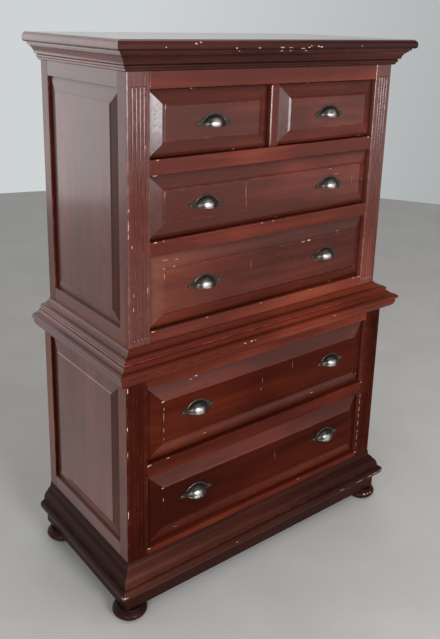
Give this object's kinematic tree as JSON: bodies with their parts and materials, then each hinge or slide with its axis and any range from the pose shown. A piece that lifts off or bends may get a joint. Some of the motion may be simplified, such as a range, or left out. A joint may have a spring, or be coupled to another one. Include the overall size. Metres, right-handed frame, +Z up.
{
  "type": "tall chest of drawers",
  "caption": "Tall two-part chest of drawers with sliding drawers, cup pulls, fluted posts, raised panels, cornice, waist moulding and bun feet.",
  "frame": {"origin": "centre of the overall box in plan, at the floor under the feet", "axes": "+Z up; the drawers face -Y and slide open along -Y; +X is to the right of a person who faces the drawers"},
  "size_m": [0.973, 0.4765, 1.45],
  "materials": {
    "polished_wood": "dark red-brown stain under worn satin varnish",
    "dark_wood": "darker red-brown stain under satin varnish",
    "inner_wood": "bare sanded wood",
    "pull_metal": "dark pewter-bronze patina"
  },
  "bodies": {
    "carcase": {"upper_front_posts": "polished_wood", "upper_rear_posts": "polished_wood", "upper_side_rails": "polished_wood", "upper_side_panels": "polished_wood", "frieze_rail": "polished_wood", "upper_drawer_rails": "polished_wood", "upper_bottom_rail": "polished_wood", "centre_stile": "polished_wood", "upper_runners": "inner_wood", "upper_back": "inner_wood", "top_board": "polished_wood", "cornice_moulding": "dark_wood", "lower_front_posts": "polished_wood", "lower_rear_posts": "polished_wood", "lower_side_rails": "polished_wood", "lower_side_panels": "polished_wood", "lower_rails": "polished_wood", "lower_runners": "inner_wood", "lower_back": "inner_wood", "lower_top_board": "dark_wood", "waist_moulding": "polished_wood", "base_moulding": "polished_wood", "plinth": "dark_wood", "bun_feet": "dark_wood"},
    "drawer_1": {"drawer_1_front": "polished_wood", "drawer_1_sides": "inner_wood", "drawer_1_back": "inner_wood", "drawer_1_bottom": "inner_wood", "drawer_1_pull": "pull_metal", "drawer_1_screws": "pull_metal"},
    "drawer_2": {"drawer_2_front": "polished_wood", "drawer_2_sides": "inner_wood", "drawer_2_back": "inner_wood", "drawer_2_bottom": "inner_wood", "drawer_2_pull": "pull_metal", "drawer_2_screws": "pull_metal"},
    "drawer_3": {"drawer_3_front": "polished_wood", "drawer_3_sides": "inner_wood", "drawer_3_back": "inner_wood", "drawer_3_bottom": "inner_wood", "drawer_3_pulls": "pull_metal", "drawer_3_screws": "pull_metal"},
    "drawer_4": {"drawer_4_front": "polished_wood", "drawer_4_sides": "inner_wood", "drawer_4_back": "inner_wood", "drawer_4_bottom": "inner_wood", "drawer_4_pulls": "pull_metal", "drawer_4_screws": "pull_metal"},
    "drawer_5": {"drawer_5_front": "polished_wood", "drawer_5_sides": "inner_wood", "drawer_5_back": "inner_wood", "drawer_5_bottom": "inner_wood", "drawer_5_pulls": "pull_metal", "drawer_5_screws": "pull_metal"},
    "drawer_6": {"drawer_6_front": "polished_wood", "drawer_6_sides": "inner_wood", "drawer_6_back": "inner_wood", "drawer_6_bottom": "inner_wood", "drawer_6_pulls": "pull_metal", "drawer_6_screws": "pull_metal"}
  },
  "joints": [
    {"name": "drawer_1_slide", "type": "slide", "parent": "carcase", "child": "drawer_1", "axis": [0, -1, 0], "range_m": [0, 0.29]},
    {"name": "drawer_2_slide", "type": "slide", "parent": "carcase", "child": "drawer_2", "axis": [0, -1, 0], "range_m": [0, 0.29]},
    {"name": "drawer_3_slide", "type": "slide", "parent": "carcase", "child": "drawer_3", "axis": [0, -1, 0], "range_m": [0, 0.29]},
    {"name": "drawer_4_slide", "type": "slide", "parent": "carcase", "child": "drawer_4", "axis": [0, -1, 0], "range_m": [0, 0.29]},
    {"name": "drawer_5_slide", "type": "slide", "parent": "carcase", "child": "drawer_5", "axis": [0, -1, 0], "range_m": [0, 0.31]},
    {"name": "drawer_6_slide", "type": "slide", "parent": "carcase", "child": "drawer_6", "axis": [0, -1, 0], "range_m": [0, 0.31]}
  ]
}
